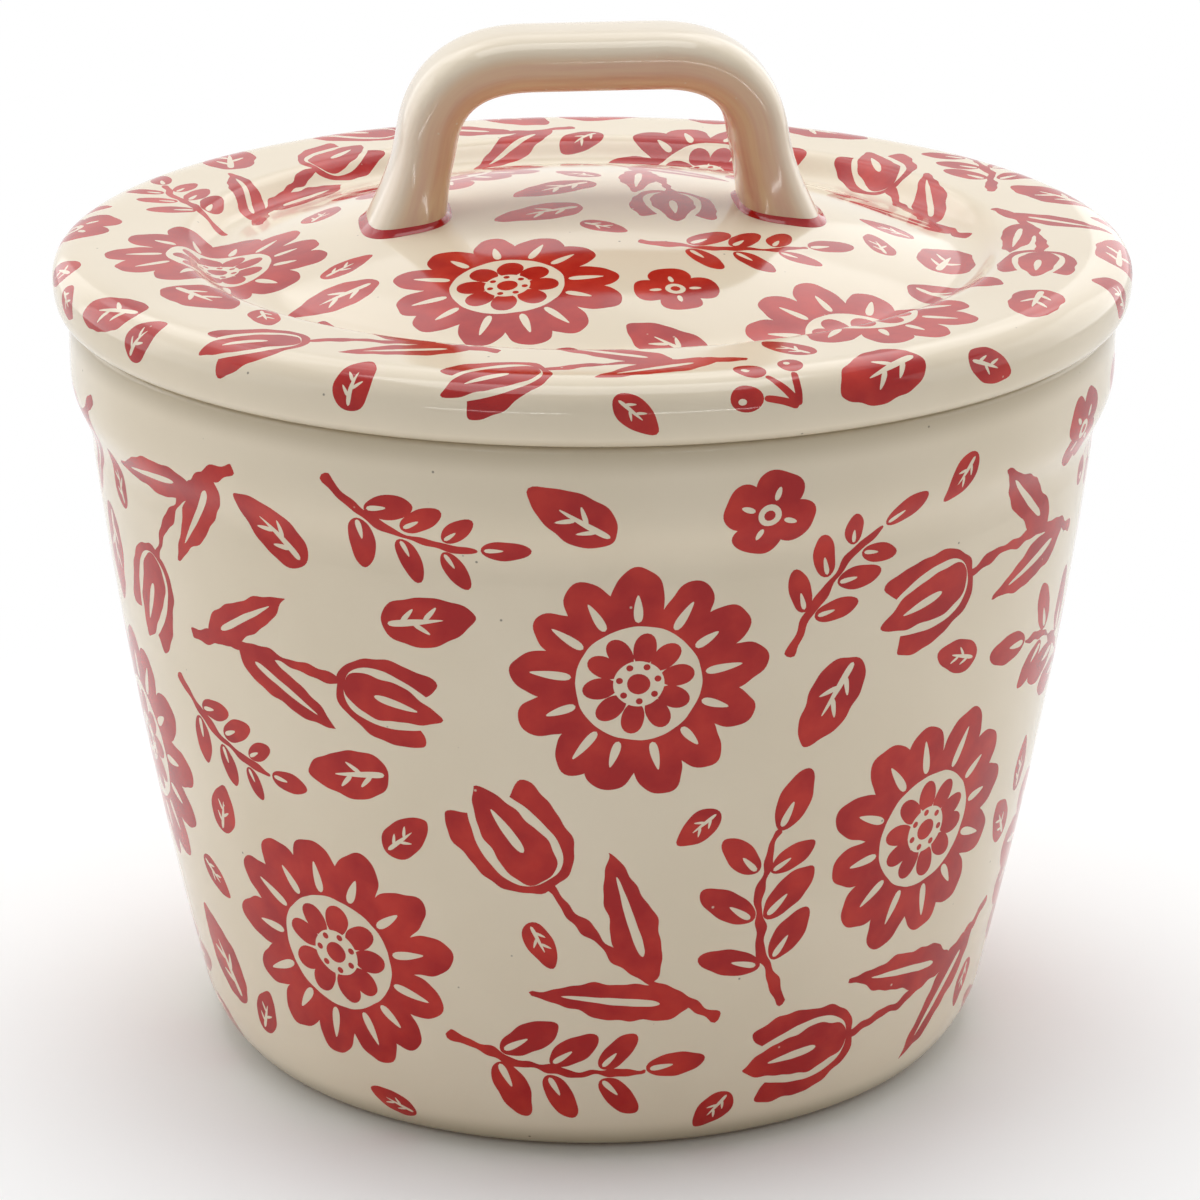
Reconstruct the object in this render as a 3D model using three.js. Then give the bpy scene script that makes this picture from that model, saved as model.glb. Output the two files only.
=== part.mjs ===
// Glazed stoneware canister: a tapered jar, a lid that lifts off and the strap handle luted onto the lid.
// Millimetres, Z up, the jar's foot on Z = 0 and the handle spanning along X.
import * as THREE from 'three';

// Jar, outside
const jarHeight = 103.8; // foot to the flat rim that carries the lid
const collarRadius = 71; // upright band below the rim
const collarHeight = 7.4;
const shoulderHeight = 11.6; // cove between the wall and the collar
const shoulderRadius = 68.2; // wall where the cove starts
const heelRadius = 55.3; // wall where the rounded heel ends
const heelHeight = 10;
const wallBulge = 1.1; // how far the wall bows out of a straight taper
const footRadius = 50.2;
const footRingWidth = 6;
const footRecess = 1.8;
const recessDraft = 1.2; // slope on the inner side of the foot ring
const rimRound = 1;

// Jar, inside
const wallThickness = 5.2;
const floorThickness = 6;
const floorFillet = 9;
const rimWidth = 6.4; // rim from the collar's face to the mouth
const mouthRound = 1.2;
const mouthDepth = 14; // straight part of the mouth

// Lid
const lidRadius = 73;
const lidSeatOverlap = 0.4; // flat underside ends this far inside the collar's face
const flangeWidestRise = 4.3; // widest ring above the seat
const flangeRise = 8.4; // flange top above the seat
const flangeShoulder = 6; // outer rounding measured inwards
const crestRadius = 54; // inner edge of the flange top
const crestRound = 3.4;
const valleyRadius = 50.6;
const valleyDrop = 2.8; // valley below the flange top
const domeRise = 5.4; // dome apex above the flange top
const domeCurve = 147; // radius of the dome's curve at its apex
const domeEdgeRadius = 46.5;
const lidThickness = 5;
const spigotClearance = 1.2; // radial play of the lid in the mouth
const spigotWall = 4.8;
const spigotDepth = 8;
const spigotRound = 1.4;

// Handle
const handleTop = 23.2; // top of the bar above the dome's apex
const barThickness = 8;
const barDepth = 15;
const barHalfLength = 8.5; // straight part of the bar on each side of the middle
const cornerReach = 20.6; // where the leg's line and the bar's line cross, from the middle
const legBend = 10; // leg meets the corner this far below the bar
const legBendReach = 22.3;
const legStraight = 5.5; // leg keeps the corner's line this far before it turns out to its foot
const footReach = 25.4; // foot centre from the lid's axis
const footThickness = 11.2;
const footDepth = 16.6;
const footFlare = 9; // height over which the leg widens into its foot
const sectionSquareness = 2.4; // 2 is an ellipse, higher is squarer
const seatGap = 0.3; // slip layer between fired pieces

// Luting slip round each foot
const slipWidth = 0.8;
const slipHeight = 1;
const slipFullness = 0.6; // 0.5 is a flat face, higher is rounder

// Smoothness of the turned and swept forms
const turns = 56;
const curveSteps = 4;
const domeSteps = 5;
const sectionSteps = 20;
const cornerSteps = 7;
const legSteps = 5;

// Heights that the pieces share
const seatHeight = jarHeight;
const flangeTop = seatHeight + flangeRise;
const domeApex = flangeTop + domeRise;
const valleyHeight = flangeTop - valleyDrop;
const mouthRadius = collarRadius - rimWidth;
const spigotRadius = mouthRadius - spigotClearance;

const creamGlaze = new THREE.MeshStandardMaterial({ color: '#e9e2d2', roughness: 0.12, metalness: 0 });
const handleGlaze = new THREE.MeshStandardMaterial({ color: '#e4d8c4', roughness: 0.12, metalness: 0 });
const redSlip = new THREE.MeshStandardMaterial({ color: '#b3202a', roughness: 0.15, metalness: 0 });

// Height of the lid's dome at a distance from the axis.
function domeHeight(radius) {
  return domeApex - radius ** 2 / (2 * domeCurve);
}

// Solid turned about Z from a path of radius and height that starts and ends on the axis.
function turned(path) {
  const geometry = new THREE.LatheGeometry(path.getPoints(curveSteps), turns);
  geometry.rotateX(Math.PI / 2);
  return geometry;
}

function makeJar() {
  const wallTop = jarHeight - collarHeight - shoulderHeight;
  const wallSlope = (shoulderRadius - heelRadius) / (wallTop - heelHeight);
  const heelControl = heelRadius - wallSlope * heelHeight / 2;
  const bulgeControl = (heelRadius + shoulderRadius) / 2 + 2 * wallBulge;
  const recessRadius = footRadius - footRingWidth;
  const collarBase = jarHeight - collarHeight;
  const coveMiddle = wallTop + shoulderHeight / 2;
  const insideTop = jarHeight - mouthDepth;
  const insideFoot = heelRadius - wallThickness;
  const insideControl = insideFoot - wallSlope * floorFillet / 2;
  const path = new THREE.Path();
  path.moveTo(0, footRecess);
  path.lineTo(recessRadius - recessDraft, footRecess);
  path.lineTo(recessRadius, 0);
  path.lineTo(footRadius, 0);
  path.quadraticCurveTo(heelControl, heelHeight / 2, heelRadius, heelHeight);
  path.quadraticCurveTo(bulgeControl, (heelHeight + wallTop) / 2, shoulderRadius, wallTop);
  path.bezierCurveTo(shoulderRadius, coveMiddle, collarRadius, coveMiddle, collarRadius, collarBase);
  path.lineTo(collarRadius, jarHeight - rimRound);
  path.quadraticCurveTo(collarRadius, jarHeight, collarRadius - rimRound, jarHeight);
  path.lineTo(mouthRadius + mouthRound, jarHeight);
  path.quadraticCurveTo(mouthRadius, jarHeight, mouthRadius, jarHeight - mouthRound);
  path.lineTo(mouthRadius, insideTop);
  path.quadraticCurveTo(
    bulgeControl - wallThickness,
    (floorThickness + floorFillet + insideTop) / 2,
    insideFoot,
    floorThickness + floorFillet,
  );
  path.quadraticCurveTo(insideControl, floorThickness, insideControl - floorFillet, floorThickness);
  path.lineTo(0, floorThickness);
  return turned(path);
}

function makeLid() {
  const ceilingEdge = valleyHeight - lidThickness;
  const spigotInside = spigotRadius - spigotWall;
  const spigotFoot = seatHeight - spigotDepth;
  const seatEdge = collarRadius - lidSeatOverlap;
  const widest = seatHeight + flangeWidestRise;
  const domeSlope = domeEdgeRadius / domeCurve;
  const domeEdge = domeHeight(domeEdgeRadius);
  const valleyControl = domeEdgeRadius + (domeEdge - valleyHeight) / domeSlope;
  const path = new THREE.Path();
  path.moveTo(0, domeApex - lidThickness);
  for (let step = 1; step <= domeSteps; step += 1) {
    const radius = domeEdgeRadius * step / domeSteps;
    path.lineTo(radius, domeHeight(radius) - lidThickness);
  }
  path.lineTo(valleyControl, ceilingEdge);
  path.lineTo(spigotInside, ceilingEdge);
  path.lineTo(spigotInside, spigotFoot + spigotRound);
  path.quadraticCurveTo(spigotInside, spigotFoot, spigotInside + spigotRound, spigotFoot);
  path.lineTo(spigotRadius - spigotRound, spigotFoot);
  path.quadraticCurveTo(spigotRadius, spigotFoot, spigotRadius, spigotFoot + spigotRound);
  path.lineTo(spigotRadius, seatHeight);
  path.lineTo(seatEdge, seatHeight);
  path.quadraticCurveTo(lidRadius, seatHeight, lidRadius, widest);
  path.quadraticCurveTo(lidRadius, flangeTop, lidRadius - flangeShoulder, flangeTop);
  path.lineTo(crestRadius + crestRound, flangeTop);
  path.bezierCurveTo(crestRadius, flangeTop, crestRadius, valleyHeight, valleyRadius, valleyHeight);
  path.quadraticCurveTo(valleyControl, valleyHeight, domeEdgeRadius, domeEdge);
  for (let step = domeSteps - 1; step >= 0; step -= 1) {
    const radius = domeEdgeRadius * step / domeSteps;
    path.lineTo(radius, domeHeight(radius));
  }
  return turned(path);
}

// Rounded strap section: the point at one turn of the way round, across the thickness and along the depth.
function sectionPoint(step, thickness, depth) {
  const angle = 2 * Math.PI * step / sectionSteps;
  const power = 2 / sectionSquareness;
  const across = Math.sign(Math.cos(angle)) * Math.abs(Math.cos(angle)) ** power;
  const along = Math.sign(Math.sin(angle)) * Math.abs(Math.sin(angle)) ** power;
  return new THREE.Vector2(across * thickness / 2, along * depth / 2);
}

// Centre line of the handle's right half: places from the middle of the bar down to just above the foot,
// each with its centre, the direction of the section's thickness and how far it lies into the foot's flare.
function handlePlaces() {
  const barHeight = domeApex + handleTop - barThickness / 2;
  const barEnd = new THREE.Vector2(barHalfLength, barHeight);
  const corner = new THREE.Vector2(cornerReach, barHeight);
  const bend = new THREE.Vector2(legBendReach, barHeight - legBend);
  const foot = new THREE.Vector2(footReach, domeHeight(footReach));
  const legControl = bend.clone().add(bend.clone().sub(corner).setLength(legStraight));
  const cornerCurve = new THREE.QuadraticBezierCurve(barEnd, corner, bend);
  const legCurve = new THREE.QuadraticBezierCurve(bend, legControl, foot);
  const domeAcross = new THREE.Vector2(domeCurve, -footReach).normalize();
  const places = [{ centre: new THREE.Vector2(0, barHeight), across: new THREE.Vector2(0, 1), flare: 0 }];
  for (let step = 0; step < cornerSteps; step += 1) {
    const centre = cornerCurve.getPoint(step / cornerSteps);
    const along = cornerCurve.getTangent(step / cornerSteps);
    places.push({ centre, across: new THREE.Vector2(-along.y, along.x), flare: 0 });
  }
  for (let step = 0; step < legSteps; step += 1) {
    const share = step / legSteps;
    const centre = legCurve.getPoint(share);
    const along = legCurve.getTangent(share);
    const across = new THREE.Vector2(-along.y, along.x).lerp(domeAcross, share).normalize();
    places.push({ centre, across, flare: flareShare(centre.y - foot.y) });
  }
  return places;
}

// Share of the foot's extra size at a height above the dome: 1 on the dome, 0 from the top of the flare.
function flareShare(height) {
  return THREE.MathUtils.clamp(1 - height / footFlare, 0, 1) ** 2;
}

// Ring of section points round one place, on the right half for side 1 and mirrored for side -1.
function handleRing(place, side) {
  const thickness = THREE.MathUtils.lerp(barThickness, footThickness, place.flare);
  const depth = THREE.MathUtils.lerp(barDepth, footDepth, place.flare);
  const ring = [];
  for (let step = 0; step < sectionSteps; step += 1) {
    const point = sectionPoint(step, thickness, depth);
    const x = place.centre.x + place.across.x * point.x;
    const z = place.centre.y + place.across.y * point.x;
    ring.push(new THREE.Vector3(side * x, point.y, z));
  }
  return ring;
}

// Ring round a foot that follows the dome, grown past the foot and lifted off the dome.
function footRing(grow, lift, side) {
  const ring = [];
  for (let step = 0; step < sectionSteps; step += 1) {
    const point = sectionPoint(step, footThickness + 2 * grow, footDepth + 2 * grow);
    const x = footReach + point.x;
    ring.push(new THREE.Vector3(side * x, point.y, domeHeight(Math.hypot(x, point.y)) + lift));
  }
  return ring;
}

// Triangles between each ring and the one after it; a closed set joins the last ring to the first.
function ringBands(count, closed) {
  const index = [];
  const bands = closed ? count : count - 1;
  for (let band = 0; band < bands; band += 1) {
    const low = band * sectionSteps;
    const high = (band + 1) % count * sectionSteps;
    for (let step = 0; step < sectionSteps; step += 1) {
      const next = (step + 1) % sectionSteps;
      index.push(low + step, high + step, high + next);
      index.push(low + step, high + next, low + next);
    }
  }
  return index;
}

function makeHandle() {
  const places = handlePlaces();
  const rings = [footRing(0, seatGap, -1)];
  for (const place of places.slice(1).reverse()) {
    rings.push(handleRing(place, -1));
  }
  for (const place of places) {
    rings.push(handleRing(place, 1));
  }
  rings.push(footRing(0, seatGap, 1));
  const index = ringBands(rings.length, false);
  const points = rings.flat();
  const leftMiddle = points.length;
  const rightMiddle = leftMiddle + 1;
  const lastRing = leftMiddle - sectionSteps;
  points.push(new THREE.Vector3(-footReach, 0, domeHeight(footReach) + seatGap));
  points.push(new THREE.Vector3(footReach, 0, domeHeight(footReach) + seatGap));
  for (let step = 0; step < sectionSteps; step += 1) {
    const next = (step + 1) % sectionSteps;
    index.push(leftMiddle, step, next);
    index.push(rightMiddle, lastRing + next, lastRing + step);
  }
  const geometry = new THREE.BufferGeometry().setFromPoints(points);
  geometry.setIndex(index);
  return geometry;
}

// Bead of slip round one foot: a closed ring with its base on the dome and its back to the leg.
function makeSlip(side) {
  const outside = seatGap + slipWidth;
  const rings = [
    footRing(seatGap, seatGap, side),
    footRing(outside, seatGap, side),
    footRing(seatGap + slipWidth * slipFullness, seatGap + slipHeight * slipFullness, side),
    footRing(seatGap, seatGap + slipHeight, side),
  ];
  const geometry = new THREE.BufferGeometry().setFromPoints(rings.flat());
  const index = ringBands(rings.length, true);
  geometry.setIndex(side > 0 ? index.reverse() : index);
  return geometry;
}

function namedMesh(name, geometry, material) {
  geometry.computeVertexNormals();
  const mesh = new THREE.Mesh(geometry, material);
  mesh.name = name;
  return mesh;
}

const canister = new THREE.Group();
canister.name = 'tea_canister';
canister.add(namedMesh('jar', makeJar(), creamGlaze));
canister.add(namedMesh('lid', makeLid(), creamGlaze));
canister.add(namedMesh('handle', makeHandle(), handleGlaze));
canister.add(namedMesh('handle_slip_left', makeSlip(-1), redSlip));
canister.add(namedMesh('handle_slip_right', makeSlip(1), redSlip));

export default canister;
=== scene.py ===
"""Dresses a glazed stoneware tea canister: printed jar and lid, plain strap handle and its beads of red slip.

Lengths are millimetres inside the shape functions and metres in the meshes. Angles start at the front,
at -Y, and grow towards +X.
"""

import math

import bpy
import numpy as np
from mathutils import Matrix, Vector
from mathutils.geometry import delaunay_2d_cdt


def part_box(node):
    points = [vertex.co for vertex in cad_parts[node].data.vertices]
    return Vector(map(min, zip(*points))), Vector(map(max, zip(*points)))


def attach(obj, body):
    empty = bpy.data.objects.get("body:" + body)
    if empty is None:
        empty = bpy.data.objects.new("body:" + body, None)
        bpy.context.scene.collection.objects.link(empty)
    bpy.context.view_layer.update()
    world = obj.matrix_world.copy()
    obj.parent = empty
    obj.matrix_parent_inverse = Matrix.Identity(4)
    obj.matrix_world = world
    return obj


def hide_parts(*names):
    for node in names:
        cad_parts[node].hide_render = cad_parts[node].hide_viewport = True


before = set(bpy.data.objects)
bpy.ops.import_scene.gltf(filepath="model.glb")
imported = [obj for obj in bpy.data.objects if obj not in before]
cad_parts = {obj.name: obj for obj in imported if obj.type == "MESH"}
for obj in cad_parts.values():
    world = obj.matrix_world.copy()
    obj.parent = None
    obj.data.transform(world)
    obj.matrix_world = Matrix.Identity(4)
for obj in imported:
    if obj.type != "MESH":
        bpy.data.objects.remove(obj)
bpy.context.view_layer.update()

bl_info = {
    "name": "Stoneware Tea Canister",
    "version": (1, 0, 0),
    "blender": (4, 5, 0),
    "location": "3D View > Sidebar > Canister",
    "description": "Builds a glazed stoneware canister with a red floral print and a lid that lifts off",
    "category": "Add Mesh",
}

# Millimetres in a metre
MM = 1000.0
# Attributes: the ink at each corner, which on the handle is its painted shade, and each point's place on the
# strap
INK_AND_SHADE = "ink"
STRAP = "strap"
# Columns round a turned surface
COLUMNS = 256
# Steps along a profile and a cut outline, and the scatter's cell, in millimetres
PROFILE_STEP = 0.1
OUTLINE_STEP = 0.5
CELL = 0.5
# Outline from which the knife's waves reach their full height, and that height on ink and on bare lines
LONG_OUTLINE = 60.0
INK_WAVE = 0.28
BARE_WAVE = 0.07
# Least and greatest share of a scattered motif's size
SIZE_SPREAD = (0.88, 1.1)
# Flower heads round the jar: their number, the first one's shift in millimetres, their heights as shares of
# the wall's, and the most that a height strays, in millimetres
JAR_HEADS = 9
JAR_HEAD_SHIFT = 21.0
JAR_HEAD_HEIGHTS = (0.3, 0.68, 0.44)
JAR_HEAD_STRAY = 4.0
# Flower heads on the lid: distances from the axis in millimetres, the first one's turn in degrees, and their
# size as a share of the jar's
LID_HEAD_REACHES = (34, 52, 33, 50, 36, 54)
LID_HEAD_TURN = 205
LID_HEAD_SHARE = 0.8
# Print kept off the foot, the top of the collar and the lid's lower edge, in millimetres
FOOT_MARGIN = 3.0
COLLAR_MARGIN = 4.0
LID_MARGIN = 3.0
# Half axes of the bare ellipse round a foot of the handle, as shares of the foot's thickness and depth
FOOT_CLEAR = (0.8, 0.65)
# Rows of the turned surfaces: their step along the profile in millimetres and the normal's turn in degrees
JAR_PRINT_ROWS = (1.7, 7)
JAR_UNDER_ROWS = (8, 12)
JAR_RIM_ROWS = (1.5, 12)
JAR_INSIDE_ROWS = (4, 8)
LID_PRINT_ROWS = (1.7, 6)
LID_UNDER_ROWS = (4, 10)
BARE_ROWS = (2, 12)
# Distance between columns on the lid's inner rows, in millimetres
LID_COLUMN_STEP = 1.8
# Edges of the mouth, the recess under the foot and the locating ring, in millimetres
MOUTH_ROUND = 1.2
RECESS_SLOPE = 1.2
RING_ROUND = 1.4
# Power of the strap's superellipse, and the columns round it
SQUARENESS = 3.1
STRAP_COLUMNS = 72
# Middle of the finger gap above the dome's apex, in millimetres
GAP_MIDDLE = 6.0
# Rows of the handle's grid that a bead of slip climbs
SLIP_ROWS = 2
# Bead of slip: its lift over the dome and its sink into the leg, in millimetres, and the share of the way
# that its face is drawn into the crease
SLIP_LIFT = 0.02
SLIP_SINK = 0.06
SLIP_DRAW = 0.35
# How far its outer edge goes down into the dome, and its root in under the foot and down, in millimetres
SLIP_SKIRT = 0.12
SLIP_ROOT_IN = 0.5
SLIP_ROOT_DOWN = 0.1
# Cosine at which the handle's painted shade and thin glaze start, and the span of cosines over which they
# grow
SHADE_START = -0.5
SHADE_SPAN = 0.8
GLAZE_IOR = 1.38
# Distance from the axis, in metres, where the table top starts to fade to white and where it is white
FADE_START = 0.054
FADE_END = 0.2
# Radius of the table top, in metres
FLOOR_RADIUS = 3.0


# Properties


def linear(hex_colour):
    """Linear RGB of an sRGB hex colour: each channel through the sRGB transfer curve."""
    share = np.array([int(hex_colour[k : k + 2], 16) for k in (1, 3, 5)]) / 255
    return tuple(np.where(share <= 0.04045, share / 12.92, ((share + 0.055) / 1.055) ** 2.4))


def length(name, millimetres, description):
    """Length property whose default is given in millimetres."""
    return bpy.props.FloatProperty(
        name=name, description=description, default=millimetres / MM, min=0.0, precision=4, unit="LENGTH"
    )


def colour(name, hex_colour, description):
    """Colour property whose default is given as an sRGB hex value."""
    return bpy.props.FloatVectorProperty(
        name=name, description=description, default=linear(hex_colour), min=0.0, max=1.0, subtype="COLOR"
    )


class JarSizes(bpy.types.PropertyGroup):
    """Sizes of the jar's turned profile."""

    height: length("Height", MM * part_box("jar")[1][2], "Foot to the rim that carries the lid")
    collar_radius: length("Collar radius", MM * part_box("jar")[1][0], "Upright band below the rim")
    collar_height: length("Collar height", 7.4, "Height of the upright band")
    shoulder_height: length("Shoulder height", 11.6, "Height of the cove below the collar")
    shoulder_radius: length("Shoulder radius", 68.2, "Wall where the cove starts")
    heel_radius: length("Heel radius", 55.3, "Wall where the rounded heel ends")
    heel_height: length("Heel height", 10, "Height of the rounded heel")
    wall_bulge: length("Wall bulge", 1.1, "How far the wall bows out of a straight taper")
    foot_radius: length("Foot radius", 50.2, "Outside of the flat foot ring")
    foot_ring: length("Foot ring", 6, "Width of the flat foot ring")
    foot_recess: length("Foot recess", 1.8, "Depth of the hollow inside the foot ring")
    foot_round: length("Foot rounding", 1.6, "Rounding on the outer edge of the foot ring")
    rim_round: length("Rim rounding", 1, "Rounding on the outer edge of the rim")
    wall: length("Wall", 5.2, "Thickness of the wall")
    floor: length("Floor", 6, "Thickness of the floor above the table")
    floor_fillet: length("Floor fillet", 9, "Rounding between floor and wall inside")
    rim_width: length("Rim width", 6.4, "Rim from the collar's face to the mouth")
    mouth_depth: length("Mouth depth", 14, "Straight part of the mouth")


class LidSizes(bpy.types.PropertyGroup):
    """Sizes of the lid's turned profile."""

    radius: length("Radius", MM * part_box("lid")[1][0], "Widest ring of the flange")
    seat_overlap: length("Seat overlap", 0.4, "Flat underside ends this far inside the collar's face")
    widest_rise: length("Widest ring", 4.3, "Height of the widest ring above the seat")
    flange_rise: length("Flange rise", 8.4, "Height of the flange top above the seat")
    flange_shoulder: length("Flange shoulder", 6, "Outer rounding measured inwards")
    crest_radius: length("Crest radius", 54, "Inner edge of the flange top")
    crest_round: length("Crest rounding", 3.4, "Rounding of the inner edge")
    valley_radius: length("Valley radius", 50.6, "Lowest ring between flange and dome")
    valley_drop: length("Valley drop", 2.8, "Valley below the flange top")
    dome_rise: length("Dome rise", 5.4, "Dome apex above the flange top")
    dome_curve: length("Dome curve", 147, "Radius of the dome's curve at its apex")
    dome_radius: length("Dome radius", 46.5, "Where the dome turns into the valley")
    thickness: length("Thickness", 5, "Thickness of the dome")
    ring_play: length("Ring play", 1.2, "Radial play of the locating ring in the mouth")
    ring_wall: length("Ring wall", 4.8, "Thickness of the locating ring")
    ring_depth: length("Ring depth", 8, "Locating ring below the seat")


class HandleSizes(bpy.types.PropertyGroup):
    """Sizes of the strap handle and of the slip round its feet."""

    top: length("Top", 23.2, "Top of the bar above the dome's apex")
    bar_thickness: length("Bar thickness", 8, "Thickness of the bar")
    bar_depth: length("Bar depth", 15, "Depth of the bar, front to back")
    bar_half: length("Bar half length", 8.5, "Straight part of the bar on each side")
    corner_reach: length("Corner reach", 20.6, "Where the leg's line and the bar's line cross")
    leg_bend: length("Leg bend", 10, "Leg meets the corner this far below the bar")
    leg_reach: length("Leg reach", 22.3, "Leg from the middle where it meets the corner")
    leg_straight: length("Leg straight", 5.5, "Leg keeps the corner's line this far")
    foot_reach: length("Foot reach", 25.4, "Foot centre from the lid's axis")
    foot_thickness: length("Foot thickness", 11.2, "Foot along the handle")
    foot_depth: length("Foot depth", 16.6, "Foot across the handle")
    foot_flare: length("Foot flare", 9, "Height over which the leg widens into its foot")
    slip_width: length("Slip width", 0.7, "Bead of slip on the dome, from the foot's edge")


class Finishes(bpy.types.PropertyGroup):
    """Colours of the glaze, the print, the bare clay and the painted shade."""

    cream: colour("Cream glaze", "#E8DBC5", "Glaze over the pale body")
    cream_thin: colour("Thin cream glaze", "#DCCEB5", "Glaze where it is thin and the body shows")
    handle_cream: colour("Handle glaze", "#E6DAC8", "Glaze on the handle, thinner and warmer")
    # Painted shade: darker colour under the lid's overhang along the seam, and on the heel
    seam_and_heel_shade: colour("Seam and heel shade", "#BFB198", "Painted shade under the lid's overhang and on the heel")
    speck: colour("Iron specks", "#5D564C", "Fine specks of iron in the glaze")
    # Painted shade and painted pink bounce, with some thin glaze, on the handle's faces turned to the finger
    # gap
    handle_thin_shaded: colour("Thin handle glaze and painted shade", "#DDBB94", "Thin glaze and painted shade on the front and inner side")
    handle_pink_bounce: colour("Painted pink bounce streaks", "#CF9880", "Painted pink bounce from the red print, in streaks")
    red: colour("Red underglaze", "#A60B0B", "Print where the colour is dense")
    red_thin: colour("Thin red", "#C42D1E", "Print where the colour is watery")
    slip_red: colour("Red slip", "#A81218", "Slip round the handle's feet")
    clay: colour("Bare stoneware", "#BE9F77", "Unglazed clay on the foot ring and the seat")


class PrintSizes(bpy.types.PropertyGroup):
    """Sizes of the printed motifs."""

    aster: length("Aster", 20, "Radius of the large flower heads")
    tulip: length("Tulip", 46, "Length of a tulip with its stem")
    sprig: length("Sprig", 37, "Length of a leafy sprig")
    leaf: length("Leaf", 14.5, "Length of a single leaf")
    blossom: length("Blossom", 6.4, "Radius of a small blossom")
    berries: length("Berries", 9.5, "Reach of a spray of berries")
    clearance: length("Clearance", 1.7, "Bare glaze kept round each motif")
    seed: bpy.props.IntProperty(name="Seed", description="Start of the scatter's random draws", default=11)


class StageSettings(bpy.types.PropertyGroup):
    """Camera and studio light."""

    azimuth: bpy.props.FloatProperty(
        name="Azimuth", description="Turn of the camera", default=math.radians(-6), subtype="ANGLE"
    )
    elevation: bpy.props.FloatProperty(
        name="Elevation", description="Height of the camera", default=math.radians(18.79), subtype="ANGLE"
    )
    distance: length("Distance", 711.03, "Camera to the point that it looks at")
    aim_height: length("Aim height", 59.83, "Height of the point that the camera looks at")
    aim_side: length("Aim side", 1.04, "That point to the camera's right of the axis")
    lens: bpy.props.FloatProperty(
        name="Lens", description="Focal length on a 36 mm frame", default=153.64, subtype="DISTANCE_CAMERA"
    )
    ambient: bpy.props.FloatProperty(name="Ambient", description="Light of the white surround", default=0.2)
    floor: colour("Floor", "#F5F6F6", "Pale table top")


# Curves and turned forms


def bezier(points, steps=24):
    """Bezier curve: the control points weighted by the Bernstein polynomials of the share along it."""
    points = np.asarray(points, float)
    degree = len(points) - 1
    order = np.arange(degree + 1)
    share = np.linspace(0, 1, steps + 1)[:, None]
    choose = np.array([math.comb(degree, k) for k in order])
    return (choose * share**order * (1 - share) ** (degree - order)) @ points


def profile_table(curves):
    """Profile resampled at even steps of its length: columns of length, radius, height and the unit normal.

    The normal is the tangent turned a quarter to the right, averaged over a few steps so that corners shade
    as small roundings.
    """
    points = np.concatenate(curves)
    gaps = np.linalg.norm(np.diff(points, axis=0), axis=1)
    points = points[np.concatenate(([True], gaps > 1e-6))]
    run = np.concatenate(([0], np.cumsum(np.linalg.norm(np.diff(points, axis=0), axis=1))))
    even = np.linspace(0, run[-1], int(run[-1] / PROFILE_STEP) + 1)
    radius = np.interp(even, run, points[:, 0])
    height = np.interp(even, run, points[:, 1])
    normal = np.column_stack((np.gradient(height, even), -np.gradient(radius, even)))
    padded = np.pad(normal, ((2, 2), (0, 0)), mode="edge")
    normal = sum(padded[k : k + len(even)] for k in range(5))
    normal /= np.linalg.norm(normal, axis=1, keepdims=True)
    return np.column_stack((even, radius, height, normal))


def length_at(table, point):
    """Length along the profile of its sample nearest a point of radius and height."""
    return table[np.argmin(np.hypot(table[:, 1] - point[0], table[:, 2] - point[1])), 0]


def even_rows(table, start, end, step, degrees):
    """Lengths from start to end, one for each step of length plus each turn of the normal by the degrees."""
    part = table[(table[:, 0] >= start) & (table[:, 0] <= end)]
    swing = np.abs(np.diff(np.unwrap(np.arctan2(part[:, 4], part[:, 3]))))
    measure = np.concatenate(([0], np.cumsum(np.diff(part[:, 0]) / step + swing / math.radians(degrees))))
    count = max(2, math.ceil(measure[-1]))
    rows = np.interp(np.linspace(0, measure[-1], count + 1), measure, part[:, 0])
    rows[0], rows[-1] = start, end
    return rows


def turned_points(table, angle, run):
    """Points and normals of the turned surface: radius and height at a length, swung round Z by an angle."""
    radius, height, out, up = (np.interp(run, table[:, 0], table[:, k]) for k in range(1, 5))
    points = np.column_stack((radius * np.sin(angle), -radius * np.cos(angle), height))
    normals = np.column_stack((out * np.sin(angle), -out * np.cos(angle), up))
    return points, normals


def turned_grid(table, rows):
    """Turned surface on a grid of rows and evenly spaced columns, as points, normals and triangles."""
    angle = np.linspace(-np.pi, np.pi, COLUMNS + 1)
    grid_angle, grid_run = np.meshgrid(angle, rows)
    points, normals = turned_points(table, grid_angle.ravel(), grid_run.ravel())
    return points, normals, grid_triangles(len(rows), COLUMNS + 1)


def grid_triangles(rows, columns):
    """Two triangles for each cell of a grid of points stored row by row."""
    index = np.arange(rows * columns).reshape(rows, columns)
    a, b, c, d = index[:-1, :-1], index[:-1, 1:], index[1:, 1:], index[1:, :-1]
    return np.concatenate((np.stack((a, b, c), -1).reshape(-1, 3), np.stack((a, c, d), -1).reshape(-1, 3)))


# Outlines of the printed motifs


def petal(reach, width, base, tip, steps=24):
    """Petal or leaf along +X: half width is share**base times (1 - share)**tip, scaled to the width."""
    share = (1 - np.cos(np.linspace(0, np.pi, steps + 1))) / 2
    swell = share**base * (1 - share) ** tip
    swell *= width / 2 / swell.max()
    upper = np.column_stack((reach * share, swell))
    lower = np.column_stack((reach * share, -swell))
    return np.concatenate((upper, lower[-2:0:-1]))


def disc(radius, steps=16):
    """Circle of points about the origin."""
    turn = np.linspace(0, 2 * np.pi, steps, endpoint=False)
    return radius * np.column_stack((np.cos(turn), np.sin(turn)))


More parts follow.
